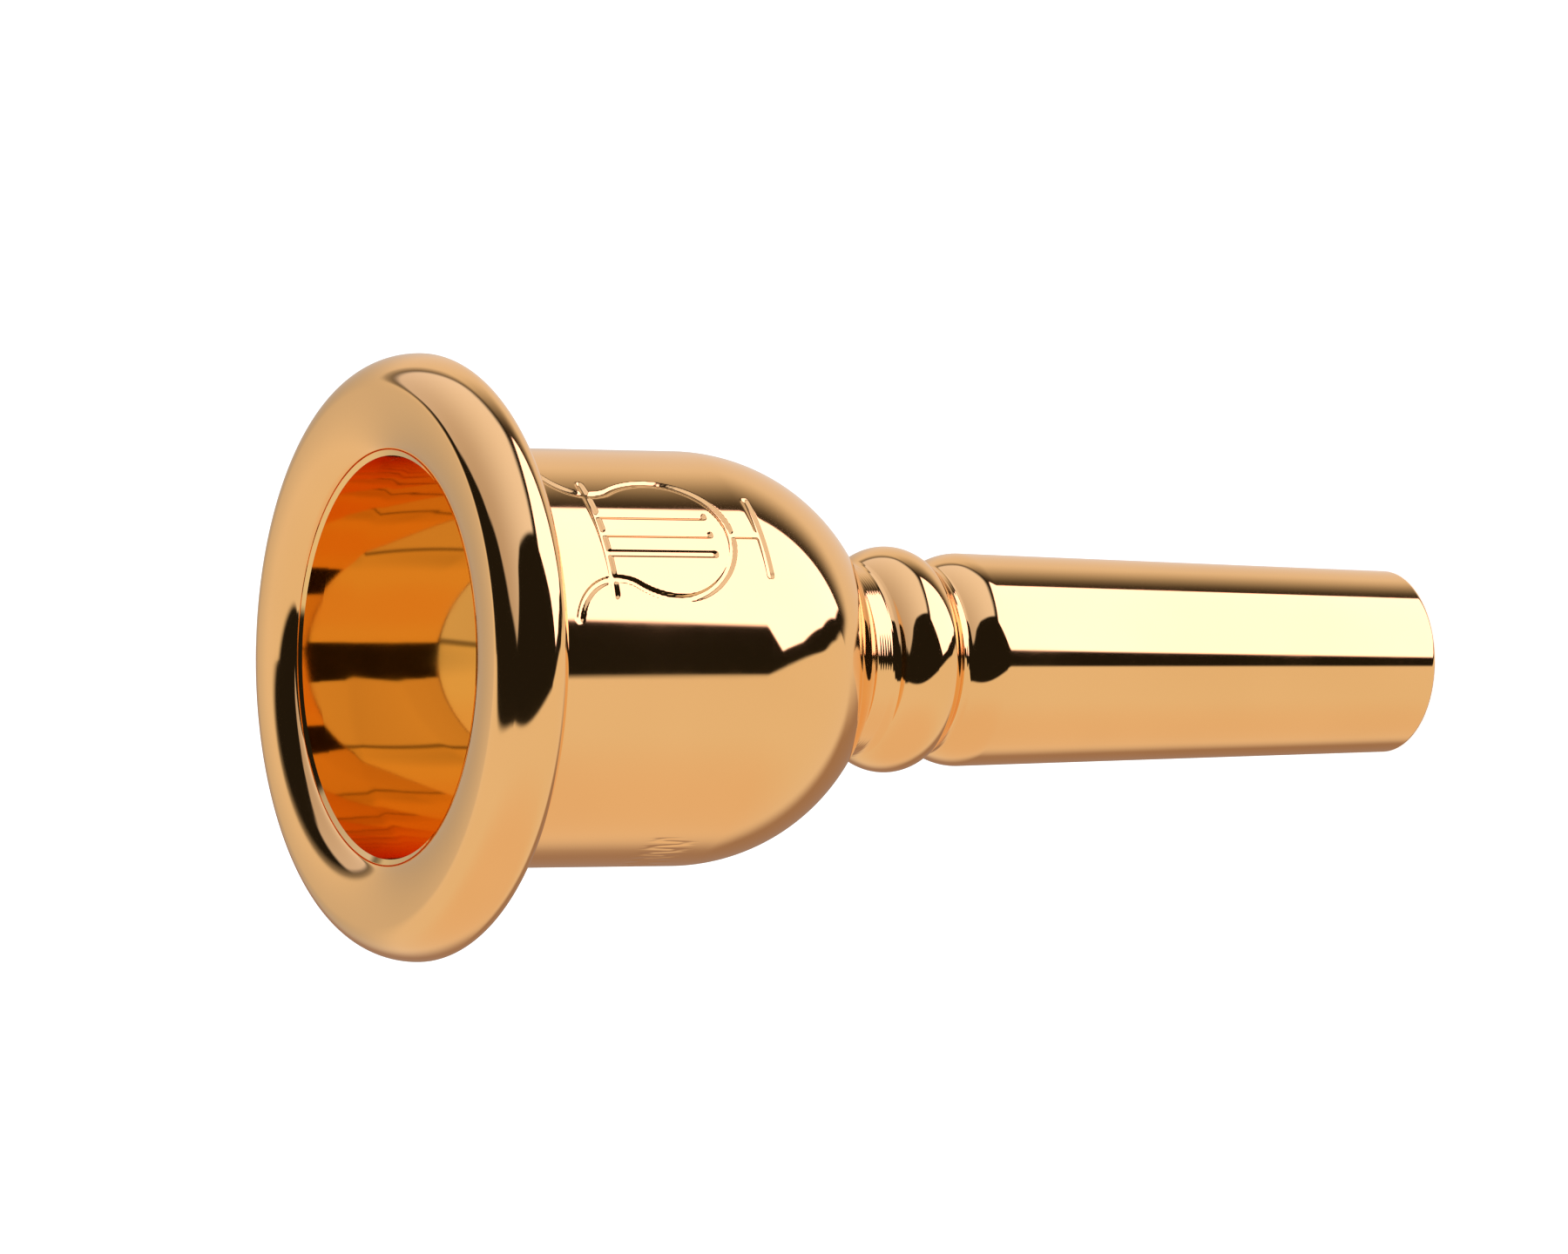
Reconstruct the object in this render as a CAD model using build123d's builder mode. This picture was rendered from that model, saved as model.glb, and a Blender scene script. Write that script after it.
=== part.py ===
from build123d import *
from math import acos, degrees, sqrt
import os

# Large-shank brass mouthpiece in three screwed pieces: rim, cup and shank.
# Millimetres, +Z along the axis. The shank's end face lies on z = 0 and the rim's crest is the top.

# Overall
overall_length = 79.0

# Rim: a wide, rounded ring that screws over the cup's top
rim_radius = 19.8
crest_radius = 17.5
rim_thickness = 5.05
equator_drop = 3.05
bite_radius = 13.46
bite_drop = 1.04
chamfer_drop = 1.4
chamfer_radius = 13.1
lip_radius = 17.2

# Cup: a straight barrel with a hemispherical base, bored to a deep elliptical bowl and a throat
cup_radius = 13.77
cup_base_drop = 21.8
seam_drop = 2.4
cup_mouth_radius = 13.05
bowl_drop = 4.5
bowl_radius = 12.95
bowl_depth = 21.0
throat_radius = 3.5
throat_round = 2.0
neck_radius = 6.35
dome_fillet = 0.5

# Screwed joints, as the cylinders on the thread crests
rim_thread_radius = 13.6
shank_thread_radius = 5.0
thread_clearance = 0.05
tenon_length = 7.3
socket_relief = 0.12

# Shank: bead, shoulder and a 1 in 20 taper that fits a large trombone receiver
bead_drop = 38.25
bead_peak_radius = 7.64
bead_section_radius = 3.1
bead_fillet = 0.8
neck_land = 0.6
shoulder_drop = 44.0
shoulder_start_drop = 41.4
shoulder_mid_rise = 0.63
shoulder_mid_drop = 1.1
shoulder_fillet = 0.4
tip_radius = 6.35
taper = 1 / 20
backbore_tip_radius = 5.3
tip_round = 0.3

# Engraving: a lyre, centred on the -Y side of the barrel, in millimetres from its own centre
engraving_depth = 0.12
engraving_width = 0.55
cutter_radius = cup_radius + 1.0
lyre_z = 63.7
lyre_foot_half = 3.0
lyre_foot_y = -7.2
lyre_base_y = -5.0
lyre_string_gap = 1.5
lyre_string_foot_y = -3.4
lyre_bar_half = 4.4
lyre_bar_y = 4.4
lyre_arm_root = (4.6, -0.6)
lyre_arm_low = (4.35, 1.2)
lyre_arm_waist = (3.6, 2.8)
lyre_arm_high = (3.7, 5.5)
lyre_arm_tip = (5.8, 7.1)

crest_z = overall_length
equator_z = crest_z - equator_drop
rim_back_z = crest_z - rim_thickness
lip_height = equator_z - rim_back_z
bite_z = crest_z - bite_drop
seam_z = crest_z - seam_drop
cup_base_z = crest_z - cup_base_drop
bowl_z = crest_z - bowl_drop
bead_z = crest_z - bead_drop
bead_centre_radius = bead_peak_radius - bead_section_radius
bead_half_length = sqrt(bead_section_radius**2 - (neck_radius - bead_centre_radius) ** 2)
bead_top_z = bead_z + bead_half_length
bead_foot_z = bead_z - bead_half_length
neck_z = bead_top_z + neck_land
tenon_z = neck_z - tenon_length
socket_z = tenon_z - socket_relief
shoulder_z = crest_z - shoulder_drop
shoulder_start_z = crest_z - shoulder_start_drop
shoulder_radius = tip_radius + shoulder_z * taper / 2

os.makedirs("parts", exist_ok=True)


def quarter_ellipse(centre, radius_x, radius_y, start_angle):
    """Add a quarter of an ellipse, counter-clockwise from start_angle in degrees."""
    return EllipticalCenterArc(
        centre, radius_x, radius_y, start_angle=start_angle, arc_size=90
    )


def mirrored(point):
    """Return the same point on the lyre's other side."""
    return (-point[0], point[1])


# Rim: crown, outer edge and rounded lip as quarter ellipses, with a socket in the back
with BuildPart() as rim:
    with BuildSketch(Plane.XZ):
        with BuildLine():
            quarter_ellipse((crest_radius, bite_z), crest_radius - bite_radius, bite_drop, 90)
            quarter_ellipse((crest_radius, equator_z), rim_radius - crest_radius, equator_drop, 0)
            quarter_ellipse((lip_radius, equator_z), rim_radius - lip_radius, lip_height, 270)
            Polyline(
                (lip_radius, rim_back_z),
                (rim_thread_radius + thread_clearance, rim_back_z),
                (rim_thread_radius + thread_clearance, seam_z),
                (cup_mouth_radius, seam_z),
                (chamfer_radius, crest_z - chamfer_drop),
                (bite_radius, bite_z),
            )
        make_face()
    revolve(axis=Axis.Z)
rim.part.label = "rim"
export_step(rim.part, "parts/rim.step")

# Lyre cutter: the traced motif, kept only where it dips below the barrel's surface
lyre_plane = Plane((0, -cutter_radius, lyre_z), x_dir=(1, 0, 0), z_dir=(0, -1, 0))
with BuildPart() as lyre:
    with BuildSketch(lyre_plane):
        with BuildLine():
            Line((-lyre_foot_half, lyre_foot_y), (lyre_foot_half, lyre_foot_y))
            Line((0, lyre_foot_y), (0, lyre_base_y))
            Line((-lyre_bar_half, lyre_bar_y), (lyre_bar_half, lyre_bar_y))
            for string_x in (-lyre_string_gap, 0, lyre_string_gap):
                Line((string_x, lyre_bar_y), (string_x, lyre_string_foot_y))
            ThreePointArc(mirrored(lyre_arm_root), (0, lyre_base_y), lyre_arm_root)
            ThreePointArc(lyre_arm_root, lyre_arm_low, lyre_arm_waist)
            ThreePointArc(lyre_arm_waist, lyre_arm_high, lyre_arm_tip)
            ThreePointArc(*map(mirrored, (lyre_arm_root, lyre_arm_low, lyre_arm_waist)))
            ThreePointArc(*map(mirrored, (lyre_arm_waist, lyre_arm_high, lyre_arm_tip)))
        trace(line_width=engraving_width)
    extrude(amount=-cutter_radius)
    with BuildSketch():
        Circle(cutter_radius)
        Circle(cup_radius - engraving_depth, mode=Mode.SUBTRACT)
    extrude(amount=crest_z, mode=Mode.INTERSECT)

# Cup: barrel and hemisphere outside, bowl and throat inside, a threaded spigot at each end
with BuildPart() as cup:
    with BuildSketch(Plane.XZ) as cup_profile:
        with BuildLine():
            dome_end_z = cup_base_z - sqrt(cup_radius**2 - neck_radius**2)
            throat_z = bowl_z - bowl_depth * sqrt(1 - (throat_radius / bowl_radius) ** 2)
            throat_angle = degrees(acos(throat_radius / bowl_radius))
            Polyline(
                (bowl_radius, bowl_z),
                (cup_mouth_radius, seam_z),
                (rim_thread_radius, seam_z),
                (rim_thread_radius, rim_back_z),
                (cup_radius, rim_back_z),
                (cup_radius, cup_base_z),
            )
            RadiusArc((cup_radius, cup_base_z), (neck_radius, dome_end_z), cup_radius)
            Polyline(
                (neck_radius, dome_end_z),
                (neck_radius, neck_z),
                (shank_thread_radius, neck_z),
                (shank_thread_radius, tenon_z),
                (throat_radius, tenon_z),
                (throat_radius, throat_z),
            )
            EllipticalCenterArc(
                (0, bowl_z), bowl_radius, bowl_depth, start_angle=0, arc_size=-throat_angle
            )
        make_face()
        throat_corner = cup_profile.vertices().sort_by_distance((throat_radius, throat_z))[0]
        fillet(throat_corner, throat_round)
        dome_corner = cup_profile.vertices().sort_by_distance((neck_radius, dome_end_z))[0]
        fillet(dome_corner, dome_fillet)
    revolve(axis=Axis.Z)
    add(lyre.part, mode=Mode.SUBTRACT)
cup.part.label = "cup"
export_step(cup.part, "parts/cup.step")

# Shank: bead and shoulder above the taper, a socket for the cup's tenon and an open backbore
with BuildPart() as shank:
    with BuildSketch(Plane.XZ) as shank_profile:
        with BuildLine():
            socket_radius = shank_thread_radius + thread_clearance
            Polyline((socket_radius, neck_z), (neck_radius, neck_z), (neck_radius, bead_top_z))
            ThreePointArc(
                (neck_radius, bead_top_z), (bead_peak_radius, bead_z), (neck_radius, bead_foot_z)
            )
            Line((neck_radius, bead_foot_z), (neck_radius, shoulder_start_z))
            ThreePointArc(
                (neck_radius, shoulder_start_z),
                (neck_radius + shoulder_mid_rise, shoulder_start_z - shoulder_mid_drop),
                (shoulder_radius, shoulder_z),
            )
            Polyline(
                (shoulder_radius, shoulder_z),
                (tip_radius, 0),
                (backbore_tip_radius, 0),
                (throat_radius, socket_z),
                (socket_radius, socket_z),
                (socket_radius, neck_z),
            )
        make_face()
        for corner_r, corner_z, size in (
            (neck_radius, bead_top_z, bead_fillet),
            (neck_radius, bead_foot_z, bead_fillet),
            (neck_radius, shoulder_start_z, shoulder_fillet),
            (tip_radius, 0, tip_round),
        ):
            corner = shank_profile.vertices().sort_by_distance((corner_r, corner_z))[0]
            fillet(corner, size)
    revolve(axis=Axis.Z)
shank.part.label = "shank"
export_step(shank.part, "parts/shank.step")
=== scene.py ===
import math

import bpy
import numpy as np
from mathutils import Matrix, Vector


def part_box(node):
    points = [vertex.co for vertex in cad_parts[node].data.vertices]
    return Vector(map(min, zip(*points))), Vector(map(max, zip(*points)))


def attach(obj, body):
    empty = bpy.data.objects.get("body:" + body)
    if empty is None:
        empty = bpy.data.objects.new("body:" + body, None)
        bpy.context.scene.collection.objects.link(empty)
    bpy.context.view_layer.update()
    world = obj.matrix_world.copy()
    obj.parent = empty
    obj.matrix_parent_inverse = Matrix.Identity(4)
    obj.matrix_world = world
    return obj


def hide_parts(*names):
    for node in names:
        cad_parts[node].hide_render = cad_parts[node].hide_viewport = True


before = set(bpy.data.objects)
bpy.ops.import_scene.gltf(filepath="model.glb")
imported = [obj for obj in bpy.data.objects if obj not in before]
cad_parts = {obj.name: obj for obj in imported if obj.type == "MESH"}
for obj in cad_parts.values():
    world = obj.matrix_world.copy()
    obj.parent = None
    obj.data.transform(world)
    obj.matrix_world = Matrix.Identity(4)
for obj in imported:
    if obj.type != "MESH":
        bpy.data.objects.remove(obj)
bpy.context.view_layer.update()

# Sizes in millimetres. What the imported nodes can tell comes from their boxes.
MM = 0.001
rim_lo, rim_hi = (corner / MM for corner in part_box("rim"))
cup_lo, cup_hi = (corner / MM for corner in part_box("cup"))
shank_lo, shank_hi = (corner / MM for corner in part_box("shank"))

CREST_Z = rim_hi.z
RIM_RADIUS = rim_hi.x
RIM_BACK_Z = rim_lo.z
SEAM_Z = cup_hi.z
CUP_RADIUS = cup_hi.x
TENON_Z = cup_lo.z
NECK_Z = shank_hi.z
BEAD_PEAK_RADIUS = shank_hi.x

# The shapes that boxes can't tell, from the CAD's own dimensions. The chamfer inside the bite is shorter
# than the CAD's, and the engraving is a little shallower.
CREST_RADIUS = 17.5
BITE_RADIUS = 13.46
BITE_DROP = 1.04
EQUATOR_DROP = 3.05
LIP_RADIUS = 17.2
CHAMFER_DROP = 1.2
CHAMFER_RADIUS = 13.12
MOUTH_RADIUS = 13.05

CUP_BASE_Z = CREST_Z - 21.8
BOWL_Z = CREST_Z - 4.5
BOWL_RADIUS = 12.95
BOWL_DEPTH = 21.0
THROAT_RADIUS = 3.5
THROAT_ROUND = 2.0
NECK_RADIUS = 6.35
DOME_FILLET = 0.5

BEAD_Z = CREST_Z - 38.25
BEAD_SECTION_RADIUS = 3.1
BEAD_FILLET = 0.8
SHOULDER_Z = CREST_Z - 44.0
SHOULDER_START_Z = CREST_Z - 41.4
SHOULDER_MID = (6.98, CREST_Z - 42.5)
SHOULDER_FILLET = 0.4
TIP_RADIUS = 6.35
TAPER = 1 / 20
TIP_ROUND = 0.3
BACKBORE_TIP_RADIUS = 5.3
SOCKET_RELIEF = 0.12

# Fine turning marks left in the neck and the groove under the bead
MARK_DEPTH = 0.003
MARK_PITCH = 0.19

# Screw threads: crest radius, root depth and pitch
RIM_THREAD_RADIUS = 13.6
RIM_THREAD_DEPTH = 0.28
RIM_THREAD_PITCH = 0.75
SHANK_THREAD_RADIUS = 5.0
SHANK_THREAD_DEPTH = 0.45
SHANK_THREAD_PITCH = 1.0
THREAD_CLEARANCE = 0.05
CORE_GAP = 0.02

# Engraved lyre on the -Y side, in millimetres from its own centre. One arm is given, and the
# other mirrors it.
LYRE_Z = 63.7
LYRE_DEPTH = 0.11
LYRE_WIDTH = 0.55
LYRE_FLANK = 0.14
LYRE_STRIP = 6.6
LYRE_FOOT = ((-3.0, -7.2), (3.0, -7.2))
LYRE_STEM = ((0.0, -7.2), (0.0, -5.0))
LYRE_BAR = ((-4.4, 4.4), (4.4, 4.4))
LYRE_STRING_TOP = 4.4
LYRE_STRING_FOOT = -3.4
LYRE_STRINGS = (-1.5, 0.0, 1.5)
LYRE_BOWL = ((-4.6, -0.6), (0.0, -5.0), (4.6, -0.6))
LYRE_ARM_LOW = ((4.6, -0.6), (4.35, 1.2), (3.6, 2.8))
LYRE_ARM_HIGH = ((3.6, 2.8), (3.7, 5.5), (5.8, 7.1))

# Generic engraved wave where such a mouthpiece carries its lettering, in degrees round from -Y
WAVE_Z = 60.5
WAVE_HEIGHT = 1.1
WAVE_START = -150.0
WAVE_END = -94.0
WAVE_PITCH = 4.5
WAVE_WIDTH = 0.3
WAVE_DEPTH = 0.03

# Camera: angles in degrees, and distance, lens and aim in millimetres. The studio turns with it.
CAMERA_AZIMUTH = -36.0
CAMERA_ELEVATION = 29.16
CAMERA_ROLL = 0.378
CAMERA_DISTANCE = 466.57
CAMERA_LENS = 160.0
AIM_HEIGHT = 48.43
AIM_OFFSET = 2.1446


def straight(start, end, fine=1.0, coarse=None, tag=""):
    """Points from start up to end, closer together near both ends where coarse is given."""
    length = math.dist(start, end)
    if coarse is None:
        steps = np.linspace(0, 1, max(1, round(length / fine)) + 1)[:-1]
    else:
        half = [0.0]
        gap = fine
        while half[-1] + gap < length / 2:
            half.append(half[-1] + gap)
            gap = min(gap * 1.25, coarse)
        half = np.array(half) / length
        steps = np.concatenate([half, 1 - half[:0:-1]])
    return [
        (start[0] + (end[0] - start[0]) * s, start[1] + (end[1] - start[1]) * s, tag) for s in steps
    ]


def curved(centre, radius_r, radius_z, start, end, step=2.0, tag=""):
    """Points of an ellipse's arc from start up to end, in degrees, every step degrees or so."""
    count = max(2, round(abs(end - start) / step))
    return [
        (
            centre[0] + radius_r * math.cos(math.radians(a)),
            centre[1] + radius_z * math.sin(math.radians(a)),
            tag,
        )
        for a in np.linspace(start, end, count + 1)[:-1]
    ]


def circle_through(p, q, s):
    """Centre and radius of the circle through three points."""
    m = np.array([[q[0] - p[0], q[1] - p[1]], [s[0] - p[0], s[1] - p[1]]])
    v = 0.5 * np.array([q[0] ** 2 - p[0] ** 2 + q[1] ** 2 - p[1] ** 2,
                        s[0] ** 2 - p[0] ** 2 + s[1] ** 2 - p[1] ** 2])
    centre = np.linalg.solve(m, v)
    return centre, math.dist(centre, p)


def bearing(centre, point):
    """Angle of point seen from centre, in degrees."""
    return math.degrees(math.atan2(point[1] - centre[1], point[0] - centre[0]))


def arc_through(p, q, s, step=2.0):
    """Points of the circular arc from p over q up to s."""
    centre, radius = circle_through(p, q, s)
    a, b, c = (bearing(centre, x) for x in (p, q, s))
    b = a + (b - a + 180) % 360 - 180
    c = b + (c - b + 180) % 360 - 180
    return curved(centre, radius, radius, a, c, step)


def neck_fillet(centre, radius, size, side):
    """Fillet between the neck and a circle above (side -1) or below it (side 1): its centre, and
    the bearing from the circle's centre to where they touch."""
    middle_r = NECK_RADIUS + size
    reach = math.sqrt((radius + size) ** 2 - (middle_r - centre[0]) ** 2)
    middle = (middle_r, centre[1] + side * reach)
    return middle, bearing(centre, middle)


def even_angles(count):
    return np.arange(count) * 2 * math.pi / count


def graded_angles(zones, fine, coarse, growth):
    """Angles once round, fine inside the zones and growing coarser away from them."""
    angles = [-math.pi]
    while angles[-1] < math.pi:
        a = angles[-1]
        away = min(max(lo - a, a - hi, 0) for lo, hi in zones)
        angles.append(a + min(fine + growth * away, coarse))
    angles = np.array(angles)
    scaled = -math.pi + (angles + math.pi) * 2 * math.pi / (angles[-1] + math.pi)
    return scaled[:-1]


def turned(name, rows, angles, reliefs=None, corner=15.0):
    """A closed piece turned about Z. rows is its profile, clockwise in radius and height."""
    r = np.array([row[0] for row in rows])
    z = np.array([row[1] for row in rows])
    radius = np.repeat(r[:, None], len(angles), 1)
    for tag, relief in (reliefs or {}).items():
        chosen = np.array([row[2] == tag for row in rows])
        a, h = np.meshgrid(angles, z[chosen])
        radius[chosen] += relief(a, h)
    height = np.repeat(z[:, None], len(angles), 1)
    points = np.stack([radius * np.sin(angles), -radius * np.cos(angles), height], -1) * MM
    count, turn = radius.shape
    i, j = np.meshgrid(np.arange(count), np.arange(turn), indexing="ij")
    i2, j2 = (i + 1) % count, (j + 1) % turn
    faces = np.stack([i * turn + j, i2 * turn + j, i2 * turn + j2, i * turn + j2], -1)
    mesh = bpy.data.meshes.new(name)
    mesh.from_pydata(points.reshape(-1, 3).tolist(), [], faces.reshape(-1, 4).tolist())
    mesh.shade_smooth()

    step = np.stack([np.roll(r, -1) - r, np.roll(z, -1) - z], -1)
    heading = np.degrees(np.arctan2(step[:, 1], step[:, 0]))
    bend = np.abs((heading - np.roll(heading, 1) + 180) % 360 - 180)
    ends = np.zeros(len(mesh.edges) * 2, np.int32)
    mesh.edges.foreach_get("vertices", ends)
    ring = ends.reshape(-1, 2) // turn
    sharp = (ring[:, 0] == ring[:, 1]) & (bend[ring[:, 0]] > corner)
    mesh.attributes.new("sharp_edge", "BOOLEAN", "EDGE").data.foreach_set("value", sharp)

    piece = bpy.data.objects.new(name, mesh)
    bpy.context.scene.collection.objects.link(piece)
    return piece


def smooth(x):
    x = np.clip(x, 0, 1)
    return x * x * (3 - 2 * x)


def thread(depth, pitch, low, high):
    """A right-hand screw thread that runs out at both ends; a negative depth cuts inwards."""

    def relief(a, h):
        wave = 0.5 - 0.5 * np.cos(2 * math.pi * (h / pitch - a / (2 * math.pi)))
        fade = smooth((h - low) / (0.5 * pitch)) * smooth((high - h) / (0.5 * pitch))
        return depth * wave * fade

    return relief


def marks(a, h):
    """Fine rings that a turning tool leaves."""
    return MARK_DEPTH * np.sin(2 * math.pi * h / MARK_PITCH) + 0 * a


def stroke_distance(x, y, strokes):
    """Distance from each point to the nearest of the strokes, which are lists of points."""
    nearest = np.full(x.shape, np.inf)
    for stroke in strokes:
        for (x0, y0), (x1, y1) in zip(stroke[:-1], stroke[1:]):
            dx, dy = x1 - x0, y1 - y0
            t = np.clip(((x - x0) * dx + (y - y0) * dy) / (dx * dx + dy * dy), 0, 1)
            nearest = np.minimum(nearest, np.hypot(x - x0 - t * dx, y - y0 - t * dy))
    return nearest


def lyre_strokes():
    strokes = [LYRE_FOOT, LYRE_STEM, LYRE_BAR]
    for x in LYRE_STRINGS:
        strokes.append(((x, LYRE_STRING_TOP), (x, LYRE_STRING_FOOT)))
    bowl = [p[:2] for p in arc_through(*LYRE_BOWL, step=6)] + [LYRE_BOWL[-1]]
    arm = [p[:2] for p in arc_through(*LYRE_ARM_LOW, step=6)]
    arm += [p[:2] for p in arc_through(*LYRE_ARM_HIGH, step=6)] + [LYRE_ARM_HIGH[-1]]
    strokes += [bowl, arm, [(-x, y) for x, y in arm]]
    return strokes


def engraving(a, h):
    """Radial offset of the barrel's skin: the lyre's channels and the wave's."""
    x, y = CUP_RADIUS * np.sin(a), h - LYRE_Z
    far = stroke_distance(x, y, lyre_strokes())
    lyre = smooth((LYRE_WIDTH / 2 - far) / LYRE_FLANK) * (np.cos(a) > 0)
    turn = np.degrees(a)
    swing = WAVE_Z + WAVE_HEIGHT * np.sin(2 * math.pi * (turn - WAVE_START) / WAVE_PITCH)
    slope = WAVE_HEIGHT * 2 * math.pi / (math.radians(WAVE_PITCH) * CUP_RADIUS)
    lean = slope * np.cos(2 * math.pi * (turn - WAVE_START) / WAVE_PITCH)
    off = np.abs(h - swing) / np.sqrt(1 + lean**2)
    wave = smooth((WAVE_WIDTH - off) / WAVE_WIDTH) * ((turn > WAVE_START) & (turn < WAVE_END))
    return -LYRE_DEPTH * lyre - WAVE_DEPTH * wave


# Rim: crown, outer edge and lip as quarter ellipses, and a threaded socket in the back
bite_z = CREST_Z - BITE_DROP
equator_z = CREST_Z - EQUATOR_DROP
rim_socket = RIM_THREAD_RADIUS + THREAD_CLEARANCE
rim_rows = (
    curved((CREST_RADIUS, bite_z), CREST_RADIUS - BITE_RADIUS, BITE_DROP, 180, 90, 2)
    + curved((CREST_RADIUS, equator_z), RIM_RADIUS - CREST_RADIUS, EQUATOR_DROP, 90, 0, 1.5)
    + curved((LIP_RADIUS, equator_z), RIM_RADIUS - LIP_RADIUS, equator_z - RIM_BACK_Z, 0, -90, 3)
    + straight((LIP_RADIUS, RIM_BACK_Z), (rim_socket, RIM_BACK_Z), 0.5)
    + straight((rim_socket, RIM_BACK_Z), (rim_socket, SEAM_Z), 0.09, tag="thread")
    + straight((rim_socket, SEAM_Z), (MOUTH_RADIUS, SEAM_Z), 0.3)
    + straight((MOUTH_RADIUS, SEAM_Z), (CHAMFER_RADIUS, CREST_Z - CHAMFER_DROP), 0.1)
    + straight((CHAMFER_RADIUS, CREST_Z - CHAMFER_DROP), (BITE_RADIUS, bite_z), 0.25)
)
rim_thread = thread(RIM_THREAD_DEPTH, RIM_THREAD_PITCH, RIM_BACK_Z, SEAM_Z)
rim = turned("turned_rim", rim_rows, even_angles(480), {"thread": rim_thread})
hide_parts("rim")

# Cup: barrel and hemisphere outside, wall, bowl and throat inside
dome_foot, dome_angle = neck_fillet((0, CUP_BASE_Z), CUP_RADIUS, DOME_FILLET, -1)
spigot_core = RIM_THREAD_RADIUS - RIM_THREAD_DEPTH - CORE_GAP
tenon_core = SHANK_THREAD_RADIUS - SHANK_THREAD_DEPTH - CORE_GAP
turns = np.radians(np.linspace(-88, -45, 4000))
slant = np.hypot(np.cos(turns) / BOWL_RADIUS, np.sin(turns) / BOWL_DEPTH)
offset_r = (BOWL_RADIUS + THROAT_ROUND / BOWL_RADIUS / slant) * np.cos(turns)
offset_z = (BOWL_DEPTH + THROAT_ROUND / BOWL_DEPTH / slant) * np.sin(turns)
round_r = THROAT_RADIUS + THROAT_ROUND
round_z = BOWL_Z + float(np.interp(round_r, offset_r, offset_z))
bowl_turn = float(np.interp(round_r, offset_r, turns))
bowl_start = (BOWL_RADIUS * math.cos(bowl_turn), BOWL_Z + BOWL_DEPTH * math.sin(bowl_turn))
round_end = bearing((round_r, round_z), bowl_start)
lyre_top = LYRE_Z + LYRE_ARM_HIGH[-1][1] + LYRE_WIDTH
cup_rows = (
    straight((MOUTH_RADIUS, SEAM_Z), (spigot_core, SEAM_Z), 0.3)
    + straight((spigot_core, SEAM_Z), (spigot_core, RIM_BACK_Z), 1.5)
    + straight((spigot_core, RIM_BACK_Z), (CUP_RADIUS, RIM_BACK_Z), 0.3)
    + straight((CUP_RADIUS, RIM_BACK_Z), (CUP_RADIUS, lyre_top), 0.35, tag="skin")
    + straight((CUP_RADIUS, lyre_top), (CUP_RADIUS, CUP_BASE_Z), 0.105, tag="skin")
    + curved((0, CUP_BASE_Z), CUP_RADIUS, CUP_RADIUS, 0, -6, 0.5, tag="skin")
    + curved((0, CUP_BASE_Z), CUP_RADIUS, CUP_RADIUS, -6, dome_angle, 1.3)
    + curved(dome_foot, DOME_FILLET, DOME_FILLET, dome_angle + 180, 180, 3, tag="marks")
    + straight((NECK_RADIUS, dome_foot[1]), (NECK_RADIUS, NECK_Z), 0.03, tag="marks")
    + straight((NECK_RADIUS, NECK_Z), (tenon_core, NECK_Z), 0.9)
    + straight((tenon_core, NECK_Z), (tenon_core, TENON_Z + CORE_GAP), 4)
    + straight((tenon_core, TENON_Z + CORE_GAP), (THROAT_RADIUS, TENON_Z), 0.5)
    + straight((THROAT_RADIUS, TENON_Z), (THROAT_RADIUS, round_z), 0.2, 3)
    + curved((round_r, round_z), THROAT_ROUND, THROAT_ROUND, 180, round_end, 5)
    + curved((0, BOWL_Z), BOWL_RADIUS, BOWL_DEPTH, math.degrees(bowl_turn), 0, 1)
    + straight((BOWL_RADIUS, BOWL_Z), (MOUTH_RADIUS, SEAM_Z), 0.3)
)
lyre_zone = (-math.asin(LYRE_STRIP / CUP_RADIUS), math.asin(LYRE_STRIP / CUP_RADIUS))
wave_zone = (math.radians(WAVE_START), math.radians(WAVE_END))
cup_angles = graded_angles([lyre_zone, wave_zone], math.radians(0.45), math.radians(1.5), 0.06)
cup = turned("turned_cup", cup_rows, cup_angles, {"skin": engraving, "marks": marks})
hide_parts("cup")

spigot_rows = (
    straight((RIM_THREAD_RADIUS, SEAM_Z - CORE_GAP), (RIM_THREAD_RADIUS, RIM_BACK_Z), 0.09, tag="thread")
    + straight((RIM_THREAD_RADIUS, RIM_BACK_Z), (spigot_core - CORE_GAP, RIM_BACK_Z), 0.3)
    + straight((spigot_core - CORE_GAP, RIM_BACK_Z), (spigot_core - CORE_GAP, SEAM_Z - CORE_GAP), 1)
    + straight((spigot_core - CORE_GAP, SEAM_Z - CORE_GAP), (RIM_THREAD_RADIUS, SEAM_Z - CORE_GAP), 0.3)
)
spigot_thread = thread(-RIM_THREAD_DEPTH, RIM_THREAD_PITCH, RIM_BACK_Z, SEAM_Z)
spigot = turned("cup_spigot_thread", spigot_rows, even_angles(288), {"thread": spigot_thread})

tenon_rows = (
    straight((SHANK_THREAD_RADIUS, NECK_Z), (SHANK_THREAD_RADIUS, TENON_Z), 0.1, tag="thread")
    + straight((SHANK_THREAD_RADIUS, TENON_Z), (tenon_core - CORE_GAP, TENON_Z), 0.3)
    + straight((tenon_core - CORE_GAP, TENON_Z), (tenon_core - CORE_GAP, NECK_Z), 2)
    + straight((tenon_core - CORE_GAP, NECK_Z), (SHANK_THREAD_RADIUS, NECK_Z), 0.3)
)
tenon_thread = thread(-SHANK_THREAD_DEPTH, SHANK_THREAD_PITCH, TENON_Z, NECK_Z)
tenon = turned("cup_tenon_thread", tenon_rows, even_angles(192), {"thread": tenon_thread})

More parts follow.
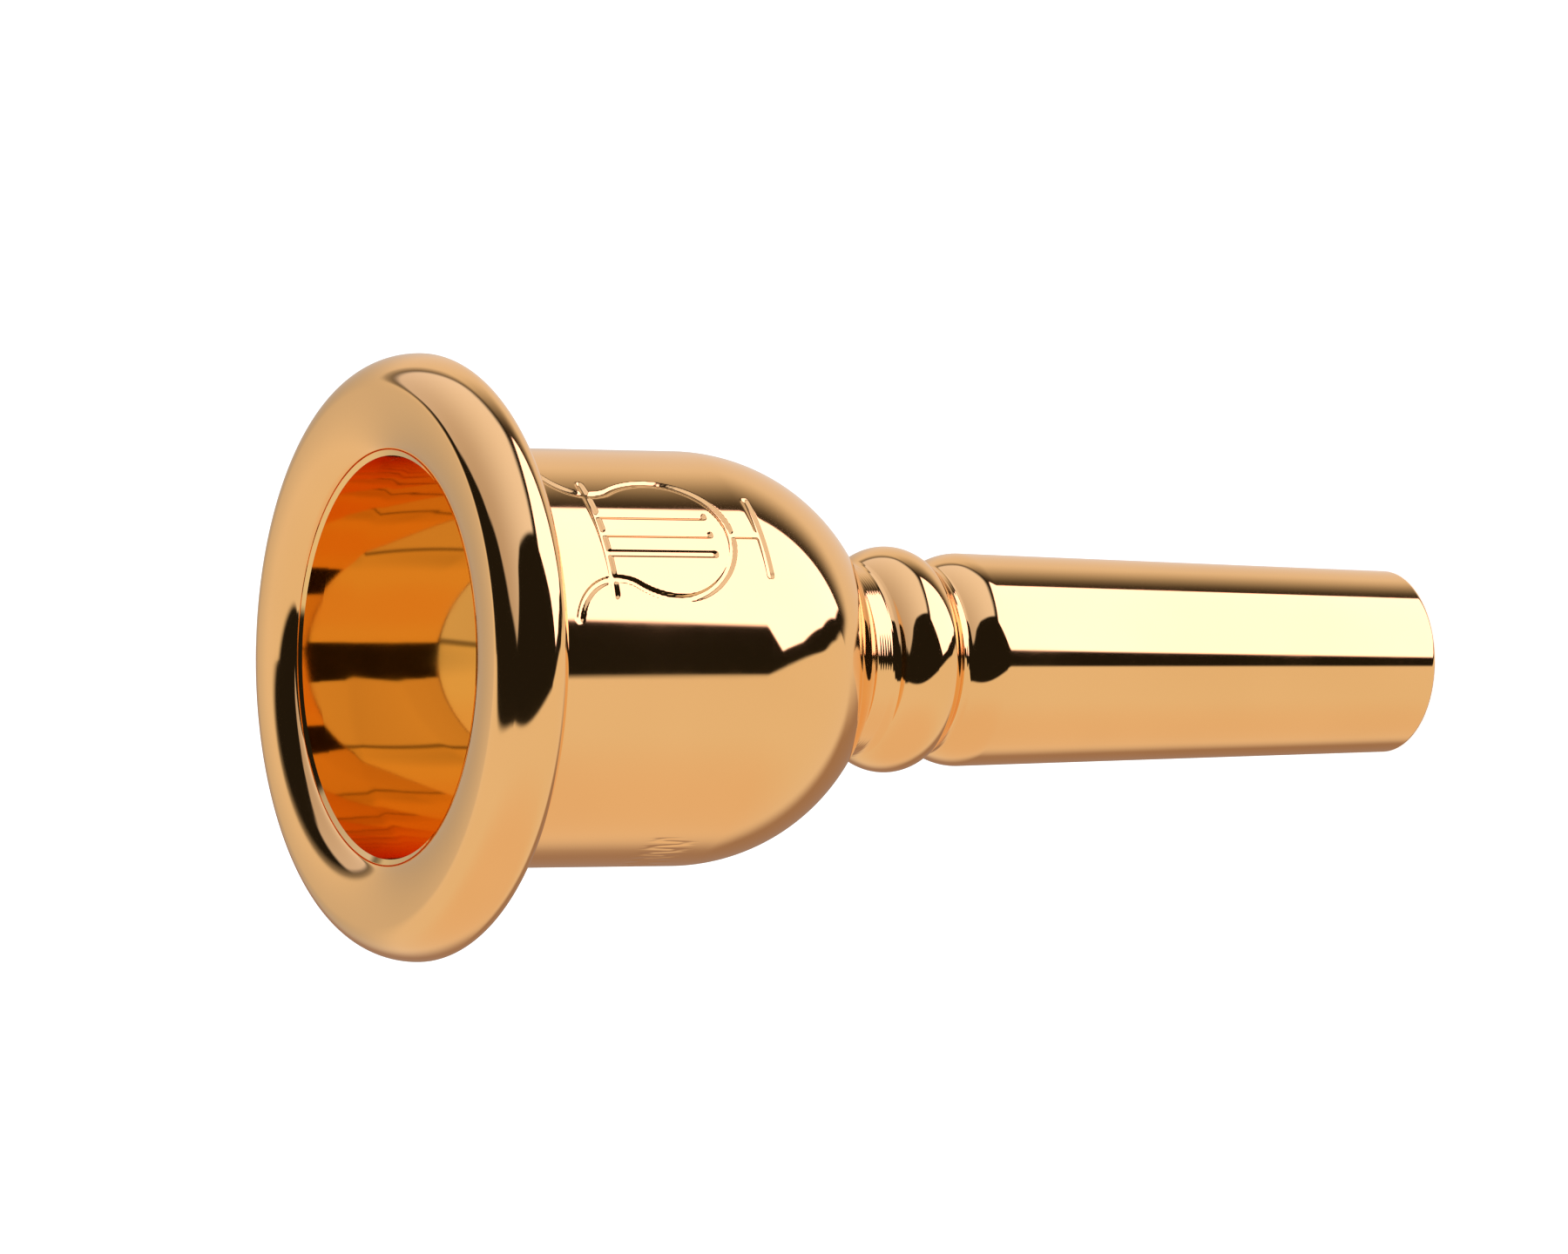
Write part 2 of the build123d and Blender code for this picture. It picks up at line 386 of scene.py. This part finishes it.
# Shank: bead, shoulder and taper outside, backbore and threaded socket inside
bead_centre = (BEAD_PEAK_RADIUS - BEAD_SECTION_RADIUS, BEAD_Z)
bead_head, bead_angle = neck_fillet(bead_centre, BEAD_SECTION_RADIUS, BEAD_FILLET, 1)
bead_foot = (bead_head[0], 2 * BEAD_Z - bead_head[1])
shoulder_radius = TIP_RADIUS + SHOULDER_Z * TAPER / 2
shoulder_end = (shoulder_radius, SHOULDER_Z)
shoulder_centre, shoulder_bend = circle_through(
    (NECK_RADIUS, SHOULDER_START_Z), SHOULDER_MID, shoulder_end
)
shoulder_head, shoulder_angle = neck_fillet(shoulder_centre, shoulder_bend, SHOULDER_FILLET, 1)
shoulder_last = bearing(shoulder_centre, shoulder_end)
tip_edge = TIP_RADIUS + TIP_ROUND * TAPER / 2
socket_z = TENON_Z - SOCKET_RELIEF
shank_socket = SHANK_THREAD_RADIUS + THREAD_CLEARANCE
shank_rows = (
    straight((shank_socket, NECK_Z), (NECK_RADIUS, NECK_Z), 0.4)
    + straight((NECK_RADIUS, NECK_Z), (NECK_RADIUS, bead_head[1]), 0.03, tag="marks")
    + curved(bead_head, BEAD_FILLET, BEAD_FILLET, 180, bead_angle + 180, 3, tag="marks")
    + curved(bead_centre, BEAD_SECTION_RADIUS, BEAD_SECTION_RADIUS, bead_angle, -bead_angle, 1.5)
    + curved(bead_foot, BEAD_FILLET, BEAD_FILLET, 180 - bead_angle, 180, 3, tag="marks")
    + straight((NECK_RADIUS, bead_foot[1]), (NECK_RADIUS, shoulder_head[1]), 0.03, tag="marks")
    + curved(shoulder_head, SHOULDER_FILLET, SHOULDER_FILLET, 180, shoulder_angle + 180, 3)
    + curved(shoulder_centre, shoulder_bend, shoulder_bend, shoulder_angle, shoulder_last, 1.5)
    + straight(shoulder_end, (tip_edge, TIP_ROUND), 0.05, 1.5)
    + curved((tip_edge - TIP_ROUND, TIP_ROUND), TIP_ROUND, TIP_ROUND, 0, -90, 10)
    + straight((tip_edge - TIP_ROUND, 0), (BACKBORE_TIP_RADIUS, 0), 0.3)
    + straight((BACKBORE_TIP_RADIUS, 0), (THROAT_RADIUS, socket_z), 0.3, 3)
    + straight((THROAT_RADIUS, socket_z), (shank_socket, socket_z), 0.5)
    + straight((shank_socket, socket_z), (shank_socket, NECK_Z), 0.1, tag="thread")
)
shank_thread = thread(SHANK_THREAD_DEPTH, SHANK_THREAD_PITCH, socket_z, NECK_Z)
shank_reliefs = {"thread": shank_thread, "marks": marks}
shank = turned("turned_shank", shank_rows, even_angles(384), shank_reliefs)
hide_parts("shank")


def node(tree, kind, **inputs):
    """Add a shader node and set or link its inputs, given by name or as in_0, in_1 and so on."""
    made = tree.nodes.new(kind)
    for key, value in inputs.items():
        socket = made.inputs[int(key[3:]) if key.startswith("in_") else key.replace("_", " ")]
        if isinstance(value, bpy.types.NodeSocket):
            tree.links.new(value, socket)
        else:
            socket.default_value = value
    return made


def calc(tree, operation, a, b=0.0):
    made = node(tree, "ShaderNodeMath", in_0=a, in_1=b)
    made.operation = operation
    return made.outputs[0]


def ramp(tree, value, low, high, to_low=0.0, to_high=1.0):
    """Value mapped smoothly from low..high to to_low..to_high."""
    made = node(tree, "ShaderNodeMapRange", in_0=value, in_1=low, in_2=high, in_3=to_low, in_4=to_high)
    made.interpolation_type = "SMOOTHSTEP"
    return made.outputs[0]


def noise(tree, place, scale, detail=2.0):
    return node(tree, "ShaderNodeTexNoise", Vector=place, Scale=scale, Detail=detail).outputs["Fac"]


def blend(tree, mask, below, above):
    """Colour below where mask is 0 and above where it is 1."""
    made = tree.nodes.new("ShaderNodeMix")
    made.data_type = "RGBA"
    for index, value in ((0, mask), (6, below), (7, above)):
        if isinstance(value, bpy.types.NodeSocket):
            tree.links.new(value, made.inputs[index])
        else:
            made.inputs[index].default_value = value
    return made.outputs[2]


# Gold plate over brass: mirror polish with faint wipe marks and a slightly uneven tone. The plate is
# a little yellower on faces below the bite that look towards the axis, as in the cup and the bore.
OUTSIDE_TONES = ((0.97, 0.605, 0.247, 1), (1.0, 0.628, 0.262, 1))
INSIDE_TONE = (0.96, 0.66, 0.262, 1)
WIPE_SCALE = 70.0
SMUDGE_SCALE = 160.0
SMUDGE_DETAIL = 5.0
WIPE_RANGE = (0.3, 0.7)
SMUDGE_RANGE = (0.45, 0.75)
ROUGHNESS = (0.045, 0.075)
gold = bpy.data.materials.new("polished_gold")
gold.use_nodes = True
gold_tree = gold.node_tree
gold_shader = gold_tree.nodes["Principled BSDF"]
gold_shader.inputs["Metallic"].default_value = 1.0
coordinates = gold_tree.nodes.new("ShaderNodeTexCoord")
spot = coordinates.outputs["Object"]
wipes = ramp(gold_tree, noise(gold_tree, spot, WIPE_SCALE), *WIPE_RANGE)
outside = blend(gold_tree, wipes, *OUTSIDE_TONES)
level = node(gold_tree, "ShaderNodeVectorMath", in_0=spot, in_1=(1.0, 1.0, 0.0))
level.operation = "MULTIPLY"
normal = coordinates.outputs["Normal"]
facing = node(gold_tree, "ShaderNodeVectorMath", in_0=level.outputs[0], in_1=normal)
facing.operation = "DOT_PRODUCT"
inwards = calc(gold_tree, "LESS_THAN", facing.outputs["Value"], 0.0)
height = node(gold_tree, "ShaderNodeSeparateXYZ", in_0=spot).outputs["Z"]
below_bite = calc(gold_tree, "LESS_THAN", height, (CREST_Z - BITE_DROP) * MM)
tone = blend(gold_tree, calc(gold_tree, "MULTIPLY", inwards, below_bite), outside, INSIDE_TONE)
gold_tree.links.new(tone, gold_shader.inputs["Base Color"])
smudges = noise(gold_tree, spot, SMUDGE_SCALE, SMUDGE_DETAIL)
smudge = ramp(gold_tree, smudges, *SMUDGE_RANGE, *ROUGHNESS)
gold_tree.links.new(smudge, gold_shader.inputs["Roughness"])

for piece, body in ((rim, "rim"), (cup, "cup"), (spigot, "cup"), (tenon, "cup"), (shank, "shank")):
    piece.data.materials.append(gold)
    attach(piece, body)
for cad_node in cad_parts.values():
    cad_node.data.materials.clear()
    cad_node.data.materials.append(gold)

# Floor: a plain white sweep that the mouthpiece stands on
FLOOR_HALF = 3.0
floor_mesh = bpy.data.meshes.new("floor")
floor_mesh.from_pydata(
    [(x * FLOOR_HALF, y * FLOOR_HALF, 0) for x, y in ((-1, -1), (1, -1), (1, 1), (-1, 1))],
    [],
    [(0, 1, 2, 3)],
)
floor = bpy.data.objects.new("floor", floor_mesh)
bpy.context.scene.collection.objects.link(floor)
paper = bpy.data.materials.new("white_paper")
paper.use_nodes = True
paper_shader = paper.node_tree.nodes["Principled BSDF"]
paper_shader.inputs["Base Color"].default_value = (0.6, 0.6, 0.6, 1)
paper_shader.inputs["Roughness"].default_value = 0.9
paper_shader.inputs["Emission Color"].default_value = (1, 1, 1, 1)
paper_shader.inputs["Emission Strength"].default_value = 0.7
floor.data.materials.append(paper)
floor.visible_glossy = False

# Studio: pale warm surroundings with a softbox, a white card and dark gaps, placed by azimuth
# round from the camera and elevation, in degrees. A panel runs from its first colour at its foot to
# its second at its head, and later panels cover earlier ones. The pale surroundings change tone
# where a direction's component downwards in the photo, or away from the camera, is in a range.
PALE = (0.80, 0.70, 0.64, 1)
PALE_BELOW = (0.80, 0.63, 0.53, 1)
PALE_BEHIND = (0.50, 0.46, 0.44, 1)
SHADE = (0.045, 0.035, 0.03, 1)
DARK = (0.015, 0.013, 0.011, 1)
CORNER = (0.36, 0.24, 0.18, 1)
CARD_FOOT = (0.92, 0.90, 1.10, 1)
CARD_HEAD = (0.52, 0.46, 0.50, 1)
SOFTBOX = (2.40, 1.90, 2.60, 1)
BELOW_RANGE = (0.55, 0.95)
BEHIND_RANGE = (0.80, 1.0)
PANELS = (
    (
        "warm_corner",
        (CORNER, CORNER),
        (12, 12, 12, 12, 12),
        ((-200, 0), (-200, -75), (-122, -75), (-122, -28), (-160, 0)),
    ),
    ("side_shade", (SHADE, SHADE), (3, 3, 20, 6), ((60, -14), (60, -84), (106, -80), (112, -14))),
    (
        "dark_room",
        (DARK, DARK),
        (3, 3, 3, 3, 6, 1.5, 1.5, 1.5, 3),
        (
            (-31, 90), (-31, 50), (38, -14), (90, -23), (118, -14), (171, 31),
            (178, 38), (181, 50), (181, 90),
        ),
    ),
    (
        "dark_sweep",
        (DARK, DARK),
        (1.6, 1.6, 1.6, 1.6, 1.6, 1.6, 1.6, 1.6),
        ((-21, 0), (-9, -29), (0, -60), (10, -70), (30, -78), (60, -81), (86, -78), (86, 0)),
    ),
    (
        "white_card",
        (CARD_FOOT, CARD_HEAD),
        (3, 3, 3, 3, 2, 1.5, 1.5, 1.5, 2, 3, 3),
        (
            (5, 48), (5, 10), (46, -11), (90, -19), (117, -10), (165, 31),
            (160, 43), (142, 54), (115, 63), (60, 66), (30, 62),
        ),
    ),
    (
        "camera_gap",
        (DARK, DARK),
        (1.6, 1.6, 1.6, 1.6, 1.6, 1.6, 1.6, 1.6, 1.6),
        ((-29, 52), (-25, 20), (-20, 0), (-10, -28), (46, -14), (46, 0), (43, 20), (36, 31), (4, 51)),
    ),
    (
        "softbox",
        (SOFTBOX, SOFTBOX),
        (0.8, 0.8, 0.8, 0.8, 0.8, 0.8, 0.8),
        ((5, -38), (12, -52), (30, -66), (60, -75), (84, -75), (91, -25), (40, -15)),
    ),
)

# The dark ceiling ends in a straight edge that leans a little past the pole
CEILING_NORMAL = (0.262, 0.933, 0.245)
CEILING_EDGE = (0.0, 0.05)
CEILING_FOOT = (44.0, 50.0)

world = bpy.data.worlds.new("studio")
bpy.context.scene.world = world
world.use_nodes = True
world.cycles.sampling_method = "NONE"
sky = world.node_tree
toward = math.radians(CAMERA_AZIMUTH)
camera_side = Vector((math.sin(toward), -math.cos(toward), 0))
photo_up = Vector((math.cos(toward), math.sin(toward), 0))
zenith = Vector((0, 0, 1))
direction = sky.nodes.new("ShaderNodeTexCoord").outputs["Generated"]


def along(axis):
    """The viewing direction's component along axis."""
    made = node(sky, "ShaderNodeVectorMath", in_0=direction, in_1=axis)
    made.operation = "DOT_PRODUCT"
    return made.outputs["Value"]


azimuth = calc(sky, "DEGREES", calc(sky, "ARCTAN2", along(photo_up), along(camera_side)))
elevation = calc(sky, "DEGREES", calc(sky, "ARCSINE", along(zenith)))


def inside(corners, softness):
    """1 inside a convex outline and 0 outside, each edge softened by its own number of degrees."""
    total = sum(x0 * y1 - x1 * y0 for (x0, y0), (x1, y1) in zip(corners, corners[1:] + corners[:1]))
    side = math.copysign(1, total)
    mask = 1.0
    for (x0, y0), (x1, y1), soft in zip(corners, corners[1:] + corners[:1], softness):
        length = math.dist((x0, y0), (x1, y1))
        across, down = -side * (y1 - y0) / length, side * (x1 - x0) / length
        sideways = calc(sky, "MULTIPLY", azimuth, across)
        far = calc(sky, "ADD", sideways, calc(sky, "MULTIPLY", elevation, down))
        edge = ramp(sky, calc(sky, "SUBTRACT", far, across * x0 + down * y0), -soft, soft)
        mask = calc(sky, "MULTIPLY", edge, mask)
    return mask


light = blend(sky, ramp(sky, along(-photo_up), *BELOW_RANGE), PALE, PALE_BELOW)
light = blend(sky, ramp(sky, along(-camera_side), *BEHIND_RANGE), light, PALE_BEHIND)
ceiling_axis = Vector(CEILING_NORMAL)
ceiling_axis = camera_side * ceiling_axis.x + photo_up * ceiling_axis.y + zenith * ceiling_axis.z
ceiling = ramp(sky, along(ceiling_axis), *CEILING_EDGE)
light = blend(sky, calc(sky, "MULTIPLY", ceiling, ramp(sky, elevation, *CEILING_FOOT)), light, DARK)
for panel, (foot, head), softness, corners in PANELS:
    colour = foot
    if foot != head:
        heights = [corner[1] for corner in corners]
        colour = blend(sky, ramp(sky, elevation, min(heights), max(heights)), foot, head)
    light = blend(sky, inside(corners, softness), light, colour)

# Mirror images show the panels, and all else sees a plain white backdrop
BACKDROP = (1, 1, 1, 1)
shiny = sky.nodes.new("ShaderNodeLightPath").outputs["Is Glossy Ray"]
sky.links.new(blend(sky, shiny, BACKDROP, light), sky.nodes["Background"].inputs["Color"])

scene = bpy.context.scene
scene.view_settings.view_transform = "Standard"
scene.cycles.max_bounces = 24
scene.cycles.glossy_bounces = 24

# Camera: above and to one side of the lyre, rolled so that the axis lies across the picture with the
# rim on the left
tilt = math.radians(CAMERA_ELEVATION)
roll = math.radians(CAMERA_ROLL)
back = camera_side * math.cos(tilt) + zenith * math.sin(tilt)
right = camera_side * math.sin(tilt) - zenith * math.cos(tilt)
turned_right = right * math.cos(roll) + photo_up * math.sin(roll)
turned_up = photo_up * math.cos(roll) - right * math.sin(roll)
aim = zenith * AIM_HEIGHT + photo_up * AIM_OFFSET
place = (aim + back * CAMERA_DISTANCE) * MM
camera_data = bpy.data.cameras.new("camera")
camera_data.lens = CAMERA_LENS
camera_data.sensor_width = 36.0
camera_data.clip_start = 0.01
camera_data.clip_end = 20.0
camera = bpy.data.objects.new("camera", camera_data)
scene.collection.objects.link(camera)
axes = Matrix((turned_right, turned_up, back)).transposed()
camera.matrix_world = Matrix.Translation(place) @ axes.to_4x4()
scene.camera = camera
